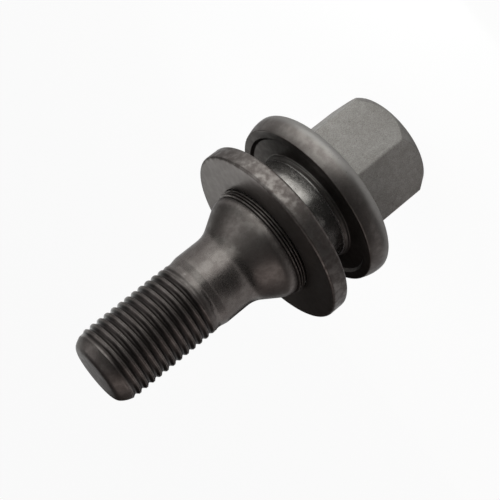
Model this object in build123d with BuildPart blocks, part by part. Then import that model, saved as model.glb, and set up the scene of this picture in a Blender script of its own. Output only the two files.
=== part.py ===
"""Wheel bolt with a captive washer: a forged hexagon flange bolt whose stepped shank carries a loose washer.

It stands on the end of its head. Z = 0 is the head's end face, and +Z runs along the axis to the thread's tip.
"""
import os
from math import radians, tan

from build123d import *

# Hexagon
hex_across_flats = 16.9
hex_corner_round = 0.4
hex_end_diameter = 16.6  # where the end chamfer meets the end face
hex_chamfer_angle = 32.0  # from the axis

# Flange
head_height = 17.1  # end face to bearing face
flange_diameter = 28.7
flange_rim_height = 3.55  # bearing face to the edge of the back cone
flange_back_angle = 74.0  # from the axis
flange_back_round = 1.0
rim_draft = 0.6  # how far the rim narrows to the bearing face, on the radius
rim_draft_height = 1.7
rim_crown_round = 4.0
bearing_band_width = 1.35
recess_depth = 0.4
recess_wall_run = 0.4

# Pilot shank, which centres the wheel and carries the washer
pilot_diameter = 17.4
pilot_lip_width = 0.45
pilot_foot_height = 0.4
washer_clearance = 0.3  # pilot to washer bore, on the radius

# Captive washer
washer_diameter = 29.6
washer_thickness = 2.9
washer_edge_chamfer = 0.35
washer_bore_chamfer = 0.25
washer_distance = 5.5  # bearing face to the washer's back, at rest

# Rolled rings that keep the washer on the pilot
ring_grip = 0.1  # ring outside the washer bore, on the radius
ring_count = 3
ring_pitch = 0.46
ring_width = 0.36
ring_flank = 0.08
ring_gap = 0.1  # washer's front to the first ring, at rest

# Cone between the pilot and the shank
land_rise = 0.1  # land outside the pilot, on the radius
land_length = 1.15
land_round = 2.5
cone_angle = 32.0  # from the axis
cone_foot_round = 3.0

# Plain shank, relief neck and thread
shank_diameter = 12.0
shank_length = 5.4
neck_depth = 0.35
neck_run_in = 1.2
neck_run_out = 1.0
thread_diameter = 11.9
thread_length = 18.3  # neck to tip
tip_length = 3.1
tip_face_diameter = 9.1

# Heights along the axis
recess_z = head_height - recess_depth
rim_back_z = head_height - flange_rim_height
washer_back_z = head_height + washer_distance
washer_front_z = washer_back_z + washer_thickness
ring_start_z = washer_front_z + ring_gap
land_start_z = ring_start_z + ring_count * ring_pitch
cone_start_z = land_start_z + land_length

# Radii
flange_r = flange_diameter / 2
bearing_r = flange_r - rim_draft
recess_r = bearing_r - bearing_band_width
pilot_r = pilot_diameter / 2
lip_r = pilot_r + pilot_lip_width
bore_r = pilot_r + washer_clearance
ring_r = bore_r + ring_grip
land_r = pilot_r + land_rise
shank_r = shank_diameter / 2
neck_r = shank_r - neck_depth
thread_r = thread_diameter / 2
tip_face_r = tip_face_diameter / 2

# Heights that follow from the cone
cone_end_z = cone_start_z + (land_r - shank_r) / tan(radians(cone_angle))
neck_start_z = cone_end_z + shank_length
neck_z = neck_start_z + neck_run_in
overall_length = neck_z + thread_length

# The back cone of the flange runs into the hexagon and ends well inside its flats
back_inner_r = hex_across_flats / 4
back_inner_z = rim_back_z - (flange_r - back_inner_r) / tan(radians(flange_back_angle))

os.makedirs("parts", exist_ok=True)

# Bolt: one forged piece, with rolled rings and thread
with BuildPart() as bolt:
    # Hexagon, with its end trimmed to a chamfered circle
    with BuildSketch() as hexagon:
        RegularPolygon(hex_across_flats / 2, 6, major_radius=False)
        fillet(hexagon.vertices(), hex_corner_round)
    extrude(amount=rim_back_z)
    with BuildSketch(Plane.XZ) as end_trim:
        with BuildLine():
            Polyline(
                (0, 0),
                (hex_end_diameter / 2, 0),
                (hex_end_diameter / 2 + rim_back_z * tan(radians(hex_chamfer_angle)), rim_back_z),
                (0, rim_back_z),
                close=True,
            )
        make_face()
    revolve(axis=Axis.Z, mode=Mode.INTERSECT)

    # Section of everything round: each corner is a radius, a height and the rounding of that corner
    flange_corners = [
        (0, back_inner_z, 0),
        (back_inner_r, back_inner_z, 0),
        (flange_r, rim_back_z, flange_back_round),
        (flange_r, head_height - rim_draft_height, rim_crown_round),
        (bearing_r, head_height, 0),
        (recess_r, head_height, 0),
        (recess_r - recess_wall_run, recess_z, 0),
        (lip_r, recess_z, 0),
        (lip_r, head_height, 0),
        (pilot_r, head_height + pilot_foot_height, 0),
    ]
    ring_corners = []
    for index in range(ring_count):
        ring_z = ring_start_z + index * ring_pitch
        ring_corners += [
            (pilot_r, ring_z, 0),
            (ring_r, ring_z + ring_flank, 0),
            (ring_r, ring_z + ring_width - ring_flank, 0),
            (pilot_r, ring_z + ring_width, 0),
        ]
    shank_corners = [
        (pilot_r, land_start_z, 0),
        (land_r, land_start_z, 0),
        (land_r, cone_start_z, land_round),
        (shank_r, cone_end_z, cone_foot_round),
        (shank_r, neck_start_z, 0),
        (neck_r, neck_z, 0),
        (thread_r, neck_z + neck_run_out, 0),
        (thread_r, overall_length - tip_length, 0),
    ]
    corners = flange_corners + ring_corners + shank_corners
    with BuildSketch(Plane.XZ) as turned_section:
        with BuildLine():
            side = FilletPolyline(
                [(radius, height) for radius, height, _ in corners],
                radius=[rounding for _, _, rounding in corners[1:-1]],
            )
            tip = TangentArc(side @ 1, (tip_face_r, overall_length), tangent=(0, 1))
            Polyline(tip @ 1, (0, overall_length), side @ 0)
        make_face()
    revolve(axis=Axis.Z)

# Washer: loose on the pilot, between the flange and the rings
with BuildPart() as washer:
    with BuildSketch(Plane.XY.offset(washer_back_z)):
        Circle(washer_diameter / 2)
        Circle(bore_r, mode=Mode.SUBTRACT)
    extrude(amount=washer_thickness)
    rims = washer.edges().filter_by(GeomType.CIRCLE).sort_by(SortBy.RADIUS)
    chamfer(rims[:2], washer_bore_chamfer)
    chamfer(rims[-2:], washer_edge_chamfer)

bolt.part.label = "bolt"
washer.part.label = "washer"
export_step(bolt.part, "parts/bolt.step")
export_step(washer.part, "parts/washer.step")
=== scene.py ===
"""Wheel bolt with a captive washer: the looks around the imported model.

The bolt stands on the end of its head, and +Z runs along its axis to the tip of the thread.
Lengths are in mm up to the point where Blender takes them in metres.
"""

from math import atan2, ceil, cos, hypot, pi, radians, sin, sqrt, tan

import bmesh
import bpy
from mathutils import Matrix, Vector


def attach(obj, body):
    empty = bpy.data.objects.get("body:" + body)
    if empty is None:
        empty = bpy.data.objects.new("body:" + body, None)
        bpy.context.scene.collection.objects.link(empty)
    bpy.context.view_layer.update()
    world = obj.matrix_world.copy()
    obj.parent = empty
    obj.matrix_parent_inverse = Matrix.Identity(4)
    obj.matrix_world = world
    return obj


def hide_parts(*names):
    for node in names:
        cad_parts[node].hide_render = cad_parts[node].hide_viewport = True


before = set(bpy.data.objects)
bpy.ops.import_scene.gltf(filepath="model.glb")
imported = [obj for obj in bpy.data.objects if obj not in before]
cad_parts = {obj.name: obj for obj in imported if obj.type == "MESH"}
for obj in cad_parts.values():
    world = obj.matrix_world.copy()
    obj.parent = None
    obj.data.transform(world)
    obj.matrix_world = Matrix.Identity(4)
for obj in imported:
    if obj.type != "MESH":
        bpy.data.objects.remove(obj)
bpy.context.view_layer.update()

MM = 0.001
COLUMNS = 180  # faces round the axis
MERGE = 0.002  # points that are closer become one
ROUND_STEP = radians(15)  # most that one segment of a rounded corner turns

# Longest rows of faces along a section
ROW = 1.2
LONG_ROW = 2.0
CHAMFER_ROW = 0.12
ROOT_ROW = 0.08

# Hexagon
HEX_FLAT = 8.45  # axis to a flat
HEX_CORNER = 9.7  # axis to an eased corner
HEX_END = 8.3  # radius of the end face
HEX_CHAMFER = radians(32)  # from the axis
HEX_EASE = 0.09  # ease of the edges round a flat
HEX_ROOT = 1.4  # blend of the flats into the flange
HEX_GATHER = 0.55  # how far the columns gather at the corners
GATHER_END = 25.0  # the columns are evenly spaced from this height
CHAMFER_MARGIN = 0.6  # the chamfer's fine rows go past its edges by this
ROOT_BELOW = 1.0  # the root's fine rows start below the foot of the back cone by this
ROOT_BEYOND = 1.6  # and end outside the corners by this

# Flange
FLANGE_R = 14.35
RIM_BACK = 13.55
RIM_BACK_ROUND = 1.0
RIM_CROWN = 15.4  # widest up to here, and narrower from here to the bearing face
RIM_CROWN_ROUND = 4.0
BEARING = 17.1
BEARING_R = 13.75
BACK_SLOPE = tan(radians(74))  # radius gained for each mm of height on the back cone
RECESS_R = 12.4
RECESS_WALL = 0.4  # run of the recess's outer wall
RECESS_FLOOR = 16.7

# Pilot, with the rings that keep the washer on it
PILOT_R = 8.7
PILOT_FOOT = 0.4
LIP_R = 9.15
RING_COUNT = 3
RING_R = 9.1
RING_START = 25.6
RING_PITCH = 0.46
RING_WIDTH = 0.36
RING_FLANK = 0.08
LAND_R = 8.8
LAND_START = 26.98
LAND_ROUND = 2.5
CONE_START = 28.13
CONE_FOOT_ROUND = 4.0

# Shank and neck
SHANK_R = 6.0
SHANK_START = 32.611
NECK_START = 38.011
NECK = 39.2
NECK_R = 5.76

# Thread
THREAD_START = 39.8
THREAD_R = 5.95
THREAD_DEPTH = 0.36
PITCH = 1.25
CREST_HEIGHT = 48.29  # a crest passes here, on the side of the camera
RUN_OUT = 3.4  # the crests reach the thread's radius this far above its start
RUN_OUT_SLOPE = 0.6  # steepest rise of the crests from the neck
GROOVE_RUN_IN = 1.6  # the grooves deepen over this length
GROOVE = "groove"  # attribute of the mesh: 1 at the thread's roots, 0 on its crests and beyond it

# One pitch of the thread, in pairs of a share of its depth and a height. The rolled crest has a fine seam.
THREAD_FORM = [
    (0.00, 0.00),
    (0.03, 0.10),
    (0.12, 0.17),
    (0.84, 0.45),
    (0.95, 0.49),
    (1.00, 0.53),
    (0.97, 0.57),
    (0.80, 0.61),
    (0.80, 0.64),
    (0.97, 0.68),
    (1.00, 0.72),
    (0.95, 0.76),
    (0.84, 0.80),
    (0.12, 1.08),
    (0.03, 1.15),
    (0.00, PITCH),
]

# Tip
TIP_START = 54.411
TIP_ROUND = 4.132
TIP_THREAD_END = 56.1
TIP_FADE = 1.5  # the grooves fade out over this length
TIP_EDGE = 57.1  # from here the tip is turned, without the thread's screw
TIP_FACE_R = 4.55
LENGTH = 57.511

# Washer
WASHER_R = 14.8
WASHER_EDGE = 0.45
BORE_R = 9.0
BORE_EDGE = 0.25
WASHER_BACK = 22.6
WASHER_FRONT = 25.5

# Colours of the steel
TURNED_DARK = (0.060, 0.049, 0.0455, 1)
TURNED_LIGHT = (0.153, 0.138, 0.130, 1)
FORGED_DARK = (0.138, 0.122, 0.113, 1)
FORGED_LIGHT = (0.268, 0.255, 0.243, 1)
BACK_EDGE_GREY = (0.19, 0.182, 0.175, 1)
PILOT_GREY = (0.28, 0.268, 0.256, 1)
# Painted shade in the bolt's grooves, recess and pilot foot, and a darker tone on other zones of the bolt
# and the washer
PAINTED_SHADE_AND_TONE_BLACK = (0.015, 0.012, 0.011, 1)
PIT_BLACK = (0.03, 0.026, 0.024, 1)
SPECULAR_GREY = (0.55, 0.55, 0.55, 1)
METALLIC = 0.8  # of turned and rolled steel under its phosphate

# Studio
PLAIN = (1, 1, 1)
COOL = (0.95, 1.0, 0.98)
PALE_COOL = (0.96, 1.0, 0.98)
WARM = (1.0, 0.92, 0.89)
STUDIO_DARK = (0.01, 0.01, 0.01, 1)
FLOOR_R = 20000
FLOOR_SIDES = 64
FLOOR_WHITE = (0.9, 0.9, 0.9, 1)
FLOOR_GLOW = 0.95  # share of the floor that glows where it is seen or mirrored
CARD_DARK = (0.02, 0.02, 0.02, 1)
CARD_HEIGHT = 1.5

# Dark cards over the floor, from and to towards the camera, and from and to across that line
CARDS = [
    (40, 220, -120, 10),
    (-5, 40, -62, -36),
    (-160, -78, -90, -20),
]

# The photograph's view
VIEW_AZIMUTH = 7.1  # degrees, from +X
VIEW_HEIGHT = 18.06  # degrees
VIEW_ROLL = -128.77  # degrees
VIEW_DISTANCE = 163.68
VIEW_AIM = 28.39
VIEW_LENS = 79.6
VIEW_NUDGE = 0.15  # upwards in the picture


def section(corners, closed=False, row=ROW):
    """A wire in the XZ plane through corners of (radius, height, rounding), cut into rows."""
    bm = bmesh.new()
    points = [bm.verts.new((radius, 0, height)) for radius, height, _ in corners]
    pairs = list(zip(points, points[1:]))
    if closed:
        pairs.append((points[-1], points[0]))
    for first, second in pairs:
        bm.edges.new((first, second))
    last = len(corners) - 1
    for index, (radius, height, rounding) in enumerate(corners):
        if rounding == 0 or not closed and index in (0, last):
            continue
        here = Vector((radius, height))
        came = here - Vector(corners[index - 1][:2])
        goes = Vector(corners[(index + 1) % len(corners)][:2]) - here
        turn = came.angle(goes)
        bmesh.ops.bevel(
            bm,
            geom=[points[index]],
            offset=rounding * tan(turn / 2),
            offset_type="OFFSET",
            affect="VERTICES",
            segments=max(2, ceil(turn / ROUND_STEP)),
            profile=0.5,
            material=-1,
        )
    for edge in bm.edges[:]:
        cuts = ceil(edge.calc_length() / row) - 1
        if cuts > 0:
            bmesh.ops.subdivide_edges(bm, edges=[edge], cuts=cuts)
    return bm


def turn_round(bm, rise=0):
    """Turns a wire once round the axis, and lets it climb by a rise where it makes a screw."""
    bmesh.ops.spin(
        bm,
        geom=bm.verts[:] + bm.edges[:],
        cent=(0, 0, 0),
        axis=(0, 0, 1),
        dvec=(0, 0, rise / COLUMNS),
        angle=2 * pi,
        steps=COLUMNS,
        use_merge=rise == 0,
        use_duplicate=False,
    )
    return bm


def join(shells):
    """Joins shells into one bmesh, merges what meets, turns the faces outwards and goes to metres."""
    bm = bmesh.new()
    bm.verts.layers.float.new(GROOVE)
    for shell in shells:
        mesh = bpy.data.meshes.new("shell")
        shell.to_mesh(mesh)
        shell.free()
        bm.from_mesh(mesh)
        bpy.data.meshes.remove(mesh)
    bmesh.ops.remove_doubles(bm, verts=bm.verts, dist=MERGE)
    bmesh.ops.recalc_face_normals(bm, faces=bm.faces)
    bmesh.ops.scale(bm, vec=(MM, MM, MM), verts=bm.verts)
    return bm


def piece(name, bm, material):
    """Makes a smooth-shaded object of a bmesh."""
    mesh = bpy.data.meshes.new(name)
    bm.to_mesh(mesh)
    bm.free()
    mesh.polygons.foreach_set("use_smooth", [True] * len(mesh.polygons))
    mesh.materials.append(material)
    thing = bpy.data.objects.new(name, mesh)
    bpy.context.scene.collection.objects.link(thing)
    return thing


def soft_min(first, second, ease):
    """The smaller of two lengths, eased where they are close."""
    near = max(ease - abs(first - second), 0) / ease
    return min(first, second) - near * near * ease / 4


def soft_max(first, second, ease):
    """The larger of two lengths, eased where they are close."""
    return -soft_min(-first, -second, ease)


def smooth(share):
    """An eased step from 0 to 1."""
    share = min(max(share, 0), 1)
    return share * share * (3 - 2 * share)


def back_cone(height):
    """Radius of the flange's back cone, also inside the hexagon."""
    return FLANGE_R - (RIM_BACK - height) * BACK_SLOPE


def back_height(radius):
    """Height of the flange's back cone at a radius."""
    return RIM_BACK - (FLANGE_R - radius) / BACK_SLOPE


def press_hexagon(bm):
    """Gathers the columns at the corners, and presses the round blank of the head into a hexagon."""
    root_top = back_height(HEX_CORNER + HEX_ROOT)
    for vert in bm.verts:
        radius = hypot(vert.co.x, vert.co.y)
        height = vert.co.z
        if radius < MERGE or height > GATHER_END:
            continue
        angle = atan2(vert.co.y, vert.co.x)
        share = smooth((GATHER_END - height) / (GATHER_END - BEARING))
        angle -= HEX_GATHER * share * sin(6 * angle) / 6
        if MERGE < height < root_top:
            from_corner = (angle + pi / 6) % (pi / 3) - pi / 6
            from_flat = pi / 6 - abs(from_corner)
            flat = HEX_FLAT / cos(from_flat)
            side = soft_min(radius, flat, HEX_EASE)
            radius = soft_max(side, back_cone(height), HEX_ROOT)
        vert.co.x = radius * cos(angle)
        vert.co.y = radius * sin(angle)
    return bm


def tip_round(height):
    """Radius of the rounded tip."""
    rise = max(height - TIP_START, 0)
    return THREAD_R - TIP_ROUND + sqrt(TIP_ROUND**2 - rise**2)


def thread_limits(height):
    """Radius of the roots and of the crests at a height, with the run-out at the neck and the tip."""
    rise = height - THREAD_START
    crest = NECK_R + (THREAD_R - NECK_R) * smooth(0.5 + rise / RUN_OUT / 2)
    crest = min(crest, NECK_R + rise * RUN_OUT_SLOPE, tip_round(height))
    depth = THREAD_DEPTH * smooth(rise / GROOVE_RUN_IN) * smooth((TIP_THREAD_END - height) / TIP_FADE)
    return crest - depth, crest


def roll_thread():
    """Winds the thread's form up from the neck, and fits it between the roots and crests of each height.

    Until it is fitted, the ribbon's radius is 1 more than its share of the depth. It starts below the neck
    and ends above the tip's edge, and what lies beyond them is pressed flat and merged away.
    """
    start = CREST_HEIGHT - PITCH / 2 - PITCH * VIEW_AZIMUTH / 360
    start -= ceil((start - THREAD_START) / PITCH + 1) * PITCH
    turns = ceil((TIP_EDGE - THREAD_START) / PITCH) + 2
    form = [(1 + share, start + height, 0) for share, height in THREAD_FORM]
    bm = turn_round(section(form, row=LONG_ROW), PITCH)
    groove = bm.verts.layers.float.new(GROOVE)
    ribbon = bm.verts[:] + bm.edges[:] + bm.faces[:]
    for turn in range(1, turns):
        copied = bmesh.ops.duplicate(bm, geom=ribbon)["geom"]
        points = [part for part in copied if isinstance(part, bmesh.types.BMVert)]
        bmesh.ops.translate(bm, verts=points, vec=(0, 0, PITCH * turn))
    for vert in bm.verts:
        share = hypot(vert.co.x, vert.co.y) - 1
        angle = atan2(vert.co.y, vert.co.x)
        height = min(max(vert.co.z, THREAD_START), TIP_EDGE)
        root, crest = thread_limits(height)
        radius = root + (crest - root) * share
        vert.co = (radius * cos(angle), radius * sin(angle), height)
        vert[groove] = (1 - share) * (crest - root) / THREAD_DEPTH
    return bm


def make_bolt(material):
    """The forged bolt: hexagon, flange, pilot with its rings, cone, shank and thread in one closed mesh."""
    chamfer_top = (HEX_CORNER - HEX_END) / tan(HEX_CHAMFER)
    cone_foot = back_height(HEX_CORNER)

    # The shells of the head meet here. Each corner is a radius, a height and a rounding.
    face_edge = (HEX_END - CHAMFER_MARGIN, 0, 0)
    flats_start = (HEX_CORNER, chamfer_top + CHAMFER_MARGIN, 0)
    flats_end = (HEX_CORNER, cone_foot - ROOT_BELOW, 0)
    back_start = (HEX_CORNER + ROOT_BEYOND, back_height(HEX_CORNER + ROOT_BEYOND), 0)

    end_face = [(0, 0, 0), face_edge]
    chamfer = [
        face_edge,
        (HEX_END, 0, 0.5),
        (HEX_CORNER, chamfer_top, 0.3),
        flats_start,
    ]
    flats = [flats_start, flats_end]
    root = [
        flats_end,
        (HEX_CORNER, cone_foot, 0.5),
        back_start,
    ]
    turned = [
        back_start,
        (FLANGE_R, RIM_BACK, RIM_BACK_ROUND),
        (FLANGE_R, RIM_CROWN, RIM_CROWN_ROUND),
        (BEARING_R, BEARING, 0.2),
        (RECESS_R, BEARING, 0.15),
        (RECESS_R - RECESS_WALL, RECESS_FLOOR, 0.25),
        (LIP_R, RECESS_FLOOR, 0.12),
        (LIP_R, BEARING, 0.12),
        (PILOT_R, BEARING + PILOT_FOOT, 0.35),
    ]
    for index in range(RING_COUNT):
        foot = RING_START + index * RING_PITCH
        turned += [
            (PILOT_R, foot, 0.05),
            (RING_R, foot + RING_FLANK, 0.06),
            (RING_R, foot + RING_WIDTH - RING_FLANK, 0.06),
            (PILOT_R, foot + RING_WIDTH, 0.05),
        ]
    turned += [
        (PILOT_R, LAND_START, 0.03),
        (LAND_R, LAND_START, 0.05),
        (LAND_R, CONE_START, LAND_ROUND),
        (SHANK_R, SHANK_START, CONE_FOOT_ROUND),
        (SHANK_R, NECK_START, 1.2),
        (NECK_R, NECK, 1.0),
        (NECK_R, THREAD_START, 0),
    ]
    tip = [
        (tip_round(TIP_EDGE), TIP_EDGE, 0),
        (TIP_FACE_R, LENGTH, 1.4),
        (0, LENGTH, 0),
    ]
    shells = [
        press_hexagon(turn_round(section(end_face))),
        press_hexagon(turn_round(section(chamfer, row=CHAMFER_ROW))),
        press_hexagon(turn_round(section(flats, row=LONG_ROW))),
        press_hexagon(turn_round(section(root, row=ROOT_ROW))),
        press_hexagon(turn_round(section(turned))),
        roll_thread(),
        turn_round(section(tip)),
    ]
    return piece("bolt_forging", join(shells), material)


def make_washer(material):
    """The loose washer on the pilot, with eased edges."""
    ring = [
        (BORE_R, WASHER_BACK, BORE_EDGE),
        (WASHER_R, WASHER_BACK, WASHER_EDGE),
        (WASHER_R, WASHER_FRONT, WASHER_EDGE),
        (BORE_R, WASHER_FRONT, BORE_EDGE),
    ]
    return piece("captive_washer", join([turn_round(section(ring, closed=True))]), material)


class Socket:
    """An output of a shader node. Arithmetic on it adds Math nodes."""

    def __init__(self, finish, output):
        self.finish = finish
        self.output = output

    def maths(self, operation, first, second):
        return self.finish.node("Math", {"operation": operation}, {0: first, 1: second})

    def __add__(self, other):
        return self.maths("ADD", self, other)

    def __sub__(self, other):
        return self.maths("SUBTRACT", self, other)

    def __rsub__(self, other):
        return self.maths("SUBTRACT", other, self)

    def __mul__(self, other):
        return self.maths("MULTIPLY", self, other)

    __radd__ = __add__
    __rmul__ = __mul__


class Finish:
    """The node tree of a material or a world, filled node by node."""

    def __init__(self, block):
        block.use_nodes = True
        self.block = block
        self.tree = block.node_tree
        self.tree.nodes.clear()

    def node(self, kind, settings=None, values=None, output=0):
        """Adds a node, sets it up, fills or links its sockets and returns one of its outputs."""
        made = self.tree.nodes.new("ShaderNode" + kind)
        for name, value in (settings or {}).items():
            setattr(made, name, value)
        for name, value in (values or {}).items():
            if isinstance(value, Socket):
                self.tree.links.new(value.output, made.inputs[name])
            else:
                made.inputs[name].default_value = value
        return Socket(self, made.outputs[output]) if made.outputs else None

    def step(self, value, low, high):
        """0 below low, 1 above high, and smooth between them."""
        return self.node(
            "MapRange",
            {"interpolation_type": "SMOOTHSTEP"},
            {"Value": value, "From Min": low, "From Max": high},
        )

    def blend(self, share, first, second):
        """A colour between two colours."""
        return self.node("Mix", {"data_type": "RGBA"}, {0: share, 6: first, 7: second}, output=2)


class Phosphate(Finish):
    """Phosphated steel round the Z axis, with its grain and with masks by height and radius."""

    def __init__(self, name):
        super().__init__(bpy.data.materials.new(name))
        self.place = self.node("TexCoord", output="Object")
        flattened = self.node("VectorMath", {"operation": "MULTIPLY"}, {0: self.place, 1: (1, 1, 0)})
        self.height = self.node("SeparateXYZ", values={"Vector": self.place}, output="Z")
        self.radius = self.node("VectorMath", {"operation": "LENGTH"}, {0: flattened}, output="Value")
        self.clouds = self.step(self.grain(size=5.0, detail=4.0, roughness=0.55), 0.30, 0.70)
        self.patches = self.step(self.grain(size=1.1, detail=4.0, roughness=0.6), 0.38, 0.66)
        self.speckle = self.grain(size=0.16, detail=2.0, roughness=0.7)
        self.pits = self.step(self.grain(size=0.45, detail=2.0, roughness=0.55), 0.66, 0.74)

    def grain(self, size, detail, roughness):
        """Noise with features of about a size."""
        return self.node(
            "TexNoise",
            values={
                "Vector": self.place,
                "Scale": 1 / (size * MM),
                "Detail": detail,
                "Roughness": roughness,
            },
        )

    def above(self, low, high):
        """0 below a height, 1 above a second one."""
        return self.step(self.height, low * MM, high * MM)

    def outside(self, low, high):
        """0 inside a radius, 1 outside a second one."""
        return self.step(self.radius, low * MM, high * MM)

    def band(self, bottom, top, fade):
        """1 between two heights, 0 beyond them."""
        return self.above(bottom - fade, bottom) * (1 - self.above(top, top + fade))

    def turned_colour(self, mottled):
        """The colour of turned and rolled steel, in patches where it is mottled."""
        shade = self.clouds * 0.25 + self.patches * mottled * 0.6
        shade = shade + (1 - mottled) * 0.35 + self.step(self.speckle, 0.3, 0.7) * 0.15
        return self.blend(shade, TURNED_DARK, TURNED_LIGHT)

    def forged_colour(self):
        """The lighter colour of the steel as it was forged, mostly in speckles."""
        shade = self.clouds * 0.25 + self.patches * 0.15 + self.step(self.speckle, 0.32, 0.68) * 0.6
        return self.blend(shade, FORGED_DARK, FORGED_LIGHT)

    def steel(self, colour, metallic, roughness, mottled, forged):
        """Adds the pits and the grain to a finish, and makes its material."""
        colour = self.blend(self.pits * 0.35, colour, PIT_BLACK)
        roughness = roughness + (0.5 - self.patches) * mottled * 0.14 + (self.speckle - 0.5) * 0.16
        relief = self.speckle * (0.3 + 0.7 * forged) + self.patches * mottled * 0.5
        relief = relief - self.pits * (0.5 + 0.6 * forged)
        bump = self.node("Bump", values={"Strength": 0.4, "Distance": 0.02 * MM, "Height": relief})
        shader = self.node(
            "BsdfPrincipled",
            values={
                "Base Color": colour,
                "Metallic": metallic,
                "Roughness": roughness,
                "Specular Tint": SPECULAR_GREY,
                "Normal": bump,
            },
        )
        self.node("OutputMaterial", values={"Surface": shader})
        return self.block


def bolt_phosphate():
    """The bolt's finish: matt and grainy as forged up to the flange, smoother and darker from there on."""
    finish = Phosphate("bolt_phosphate")

    # Zones of the head
    forged = 1 - finish.above(RIM_BACK, RIM_BACK + 1)
    chamfer_reach = finish.radius - finish.height * tan(HEX_CHAMFER)
    chamfer = finish.step(chamfer_reach, (HEX_END - 0.08) * MM, (HEX_END - 0.02) * MM)
    back_edge = finish.band(RIM_BACK - 0.4, RIM_BACK + 0.7, 1.2)
    flange_side = finish.band(RIM_BACK, BEARING, 0.5)
    on_rim = finish.outside(BEARING_R - 0.2, BEARING_R)
    rim = finish.band(RIM_CROWN, BEARING, 1.2) * on_rim
    past_lip = finish.outside(LIP_R, LIP_R + 0.3)
    underside = finish.band(RECESS_FLOOR, BEARING + 0.1, 0.2) * past_lip * (1 - on_rim)

    # Zones of the shank
    lip = finish.band(RECESS_FLOOR, BEARING + 0.2, 0.1) * (1 - past_lip)
    foot = finish.band(BEARING + 0.2, BEARING + PILOT_FOOT, 0.9) * (1 - finish.outside(LIP_R, LIP_R + 0.1))
    pilot = finish.band(BEARING + PILOT_FOOT, WASHER_FRONT, 0.2)
    between_rings = finish.band(RING_START, LAND_START, 0.05) * (1 - finish.outside(PILOT_R, RING_R - 0.05))
    cone = finish.band(LAND_START + 1, SHANK_START - 1.5, 1.5)
    shank = finish.band(SHANK_START, NECK, 0.8)
    rolled = finish.above(THREAD_START - 0.2, THREAD_START + 0.2)
    groove = finish.step(finish.node("Attribute", {"attribute_name": GROOVE}, output="Fac"), 0.05, 0.55)
    tip = finish.above(TIP_THREAD_END - 0.3, TIP_THREAD_END)

    mottled = 1 - 0.2 * pilot - 0.6 * shank - 0.5 * (cone + flange_side + rolled)
    colour = finish.blend(forged, finish.turned_colour(mottled), finish.forged_colour())
    colour = finish.blend(back_edge * 0.8, colour, BACK_EDGE_GREY)
    colour = finish.blend(pilot * 0.38 + lip * 0.35, colour, PILOT_GREY)
    # Painted shade: the thread's roots and crest seams, the grooves between the rings, the pilot's foot by
    # the flange and the flange's recess are darkened where shade falls. The thread, tip, rim and hex chamfer
    # are made a darker tone.
    painted_shade_and_tone = groove * 0.82 + rolled * 0.12 + tip * 0.14 + foot * 0.35 + between_rings * 0.85
    painted_shade_and_tone = painted_shade_and_tone + underside * 0.5 + rim * 0.16 + chamfer * forged * 0.3
    colour = finish.blend(painted_shade_and_tone, colour, PAINTED_SHADE_AND_TONE_BLACK)

    metallic = METALLIC - 0.68 * forged * (1 - back_edge)
    roughness = 0.36 + 0.22 * forged + 0.02 * back_edge
    roughness = roughness - 0.14 * pilot + 0.02 * cone - 0.1 * shank + 0.1 * tip
    return finish.steel(colour, metallic, roughness, mottled, forged)


def washer_phosphate():
    """The washer's finish: plain faces and a mottled rim."""
    finish = Phosphate("washer_phosphate")
    face = 1 - finish.outside(WASHER_R - 0.7, WASHER_R - 0.2)
    mottled = 1 - 0.7 * face
    colour = finish.blend(0.2 - 0.08 * face, finish.turned_colour(mottled), PAINTED_SHADE_AND_TONE_BLACK)
    roughness = 0.38 - 0.05 * face
    return finish.steel(colour, METALLIC, roughness, mottled, forged=0)


def place_softbox(name, azimuth, distance, height, size, aim, radiance, tint=PLAIN):
    """A softbox at an azimuth from the camera's side, pointed at a height on the axis."""
    lamp = bpy.data.lights.new(name, "AREA")
    lamp.shape = "RECTANGLE"
    lamp.size = size[0] * MM
    lamp.size_y = size[1] * MM
    lamp.energy = radiance * pi * lamp.size * lamp.size_y
    lamp.color = tint
    softbox = bpy.data.objects.new(name, lamp)
    turn = radians(VIEW_AZIMUTH + azimuth)
    softbox.location = Vector((distance * cos(turn), distance * sin(turn), height)) * MM
    to_axis = Vector((0, 0, aim * MM)) - softbox.location
    softbox.rotation_euler = to_axis.to_track_quat("-Z", "Y").to_euler()
    bpy.context.scene.collection.objects.link(softbox)


def darken_studio():
    """A nearly black room round the floor and the softboxes."""
    world = bpy.data.worlds.new("studio")
    studio = Finish(world)
    walls = studio.node("Background", values={"Color": STUDIO_DARK})
    studio.node("OutputWorld", values={"Surface": walls})
    bpy.context.scene.world = world


def stage_piece(name, bm, material):
    """A thing of the studio, not of the bolt."""
    thing = piece(name, bm, material)
    return thing


def floor_white():
    """Paint that glows white where it is seen or mirrored, with a matt share that keeps the shadow."""
    finish = Finish(bpy.data.materials.new("floor_white"))
    seen = finish.node("LightPath", output="Is Camera Ray")
    mirrored = finish.node("LightPath", output="Is Glossy Ray")
    passed = finish.node("LightPath", output="Is Transmission Ray")
    matt = finish.node("BsdfDiffuse", values={"Color": FLOOR_WHITE})
    glow = finish.node("Emission", values={"Color": (1, 1, 1, 1), "Strength": 1})
    share = (seen + mirrored + passed) * FLOOR_GLOW
    surface = finish.node("MixShader", values={0: share, 1: matt, 2: glow})
    finish.node("OutputMaterial", values={"Surface": surface})
    return finish.block


def lay_floor():
    """A wide white floor under the bolt."""
    floor = bmesh.new()
    bmesh.ops.create_circle(floor, cap_ends=True, radius=FLOOR_R * MM, segments=FLOOR_SIDES)
    stage_piece("floor", floor, floor_white())


def card_dark():
    """Matt dark card."""
    finish = Finish(bpy.data.materials.new("card_dark"))
    matt = finish.node("BsdfDiffuse", values={"Color": CARD_DARK})
    finish.node("OutputMaterial", values={"Surface": matt})
    return finish.block


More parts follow.
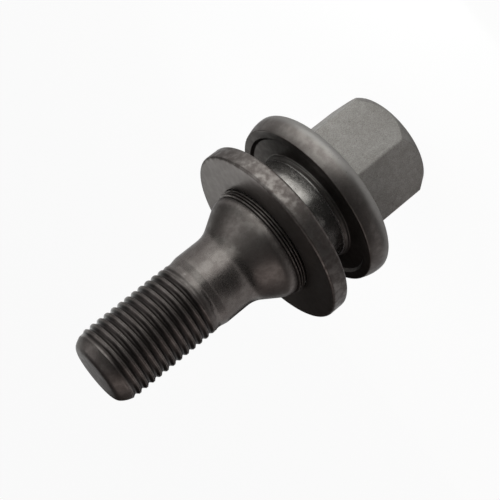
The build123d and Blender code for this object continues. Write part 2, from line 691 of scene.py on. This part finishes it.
def lay_cards():
    """Cards that put dark bands into the metal. The camera doesn't see them, and they cast no shadow."""
    cards = bmesh.new()
    for back, front, left, right in CARDS:
        card = bmesh.ops.create_grid(cards, x_segments=1, y_segments=1, size=0.5)["verts"]
        middle = Vector(((back + front) / 2, (left + right) / 2, CARD_HEIGHT)) * MM
        bmesh.ops.scale(cards, vec=((front - back) * MM, (right - left) * MM, 1), verts=card)
        bmesh.ops.translate(cards, vec=middle, verts=card)
    to_camera = Matrix.Rotation(radians(VIEW_AZIMUTH), 3, "Z")
    bmesh.ops.rotate(cards, cent=(0, 0, 0), matrix=to_camera, verts=cards.verts)
    flag = stage_piece("flag", cards, card_dark())
    flag.visible_camera = False
    flag.visible_shadow = False


def set_camera():
    """The camera at the photograph's place, rolled so that the bolt lies across the picture."""
    lens = bpy.data.cameras.new("camera")
    lens.lens = VIEW_LENS
    lens.clip_start = 0.01
    lens.clip_end = 100
    camera = bpy.data.objects.new("camera", lens)
    turn = radians(VIEW_AZIMUTH)
    rise = radians(VIEW_HEIGHT)
    away = Vector((cos(rise) * cos(turn), cos(rise) * sin(turn), sin(rise)))
    upright = (-away).to_track_quat("-Z", "Y")
    roll = Matrix.Rotation(radians(VIEW_ROLL), 3, "Z").to_quaternion()
    camera.rotation_mode = "QUATERNION"
    camera.rotation_quaternion = upright @ roll
    nudge = camera.rotation_quaternion @ Vector((0, VIEW_NUDGE, 0))
    camera.location = (Vector((0, 0, VIEW_AIM)) + away * VIEW_DISTANCE + nudge) * MM
    bpy.context.scene.collection.objects.link(camera)
    bpy.context.scene.camera = camera


bolt_steel = bolt_phosphate()
washer_steel = washer_phosphate()

bolt = make_bolt(bolt_steel)
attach(bolt, "bolt")
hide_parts("bolt")

washer = make_washer(washer_steel)
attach(washer, "washer")
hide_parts("washer")

place_softbox(
    "key_softbox", azimuth=36, distance=60, height=38, size=(46, 60), aim=30, radiance=1.3, tint=COOL
)
place_softbox(
    "wide_softbox", azimuth=55, distance=56, height=32, size=(92, 58), aim=30, radiance=0.56, tint=COOL
)
place_softbox(
    "head_softbox", azimuth=40, distance=40, height=8, size=(60, 24), aim=7, radiance=2.24, tint=COOL
)
place_softbox(
    "back_softbox", azimuth=150, distance=52, height=58, size=(44, 56), aim=36, radiance=1.25, tint=PALE_COOL
)
place_softbox(
    "tip_softbox", azimuth=160, distance=45, height=62, size=(40, 40), aim=30, radiance=0.95
)
place_softbox(
    "top_softbox", azimuth=85, distance=120, height=170, size=(120, 120), aim=45, radiance=2.0
)
place_softbox(
    "fill_softbox", azimuth=-85, distance=130, height=165, size=(150, 140), aim=45, radiance=1.35, tint=WARM
)
place_softbox(
    "side_softbox", azimuth=-110, distance=120, height=55, size=(110, 90), aim=30, radiance=0.2, tint=WARM
)
place_softbox(
    "high_softbox", azimuth=0, distance=40, height=150, size=(60, 60), aim=55, radiance=0.75
)
darken_studio()
lay_floor()
lay_cards()
set_camera()
bpy.context.scene.view_settings.view_transform = "Standard"
